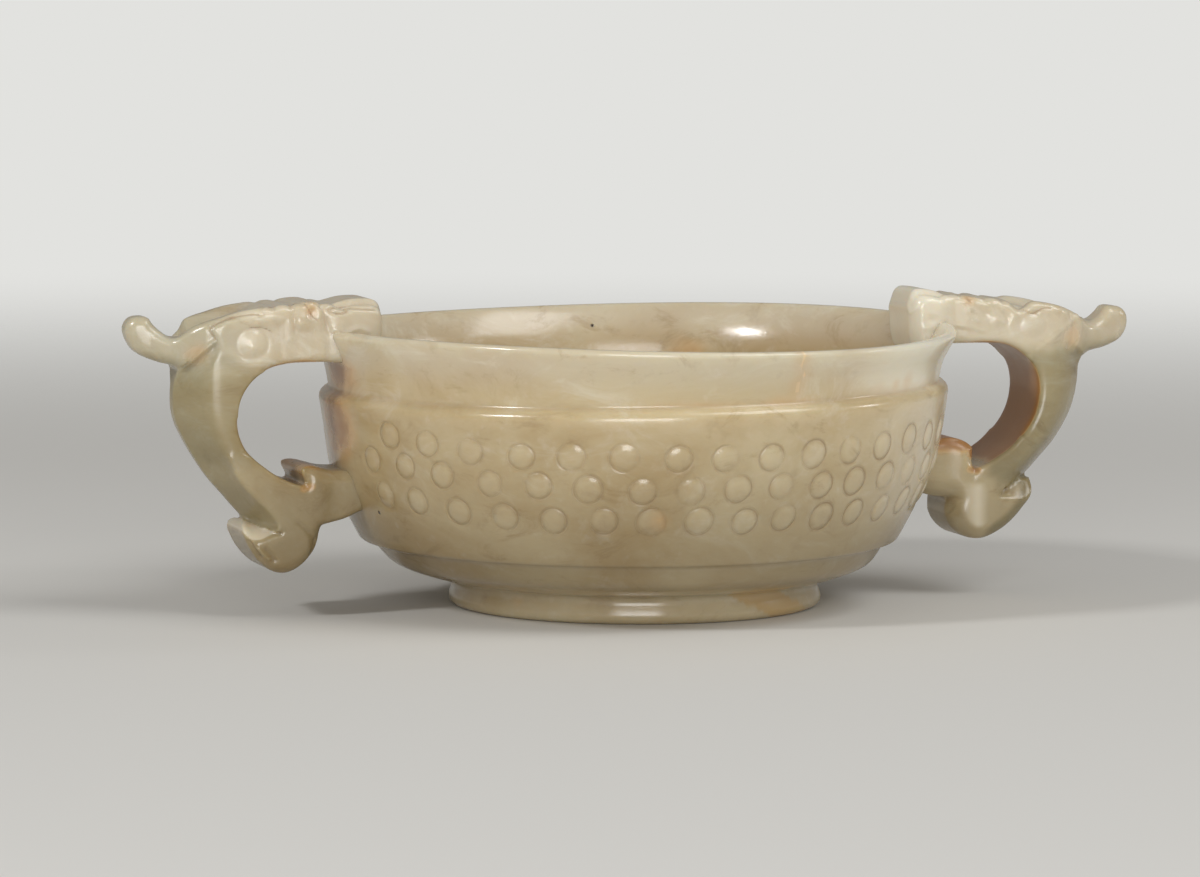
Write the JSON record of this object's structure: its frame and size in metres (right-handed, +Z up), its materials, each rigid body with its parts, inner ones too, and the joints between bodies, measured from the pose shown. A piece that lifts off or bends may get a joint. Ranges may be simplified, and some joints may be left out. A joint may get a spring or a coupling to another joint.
{
  "type": "two-handled jade cup",
  "caption": "Low round cup on a ring foot with a flared lip, rows of ringed bosses round the belly and a dragon-headed loop handle on each side.",
  "frame": {"origin": "centre of the foot ring's flat resting face", "axes": "+Z up out of the cup's mouth, X through both handles, Y across them"},
  "size_m": [0.127, 0.078, 0.0378],
  "materials": {
    "jade_bowl": "polished pale celadon nephrite, translucent, with cloudy white veins",
    "jade_foot": "polished pale nephrite with brown and grey patches",
    "jade_handles": "polished pale celadon nephrite, russet in the recesses"
  },
  "bodies": {
    "root": {"bowl": "jade_bowl", "foot_ring": "jade_foot", "left_dragon_head": "jade_handles", "left_handle_loop": "jade_handles", "right_dragon_head": "jade_handles", "right_handle_loop": "jade_handles"}
  },
  "joints": []
}
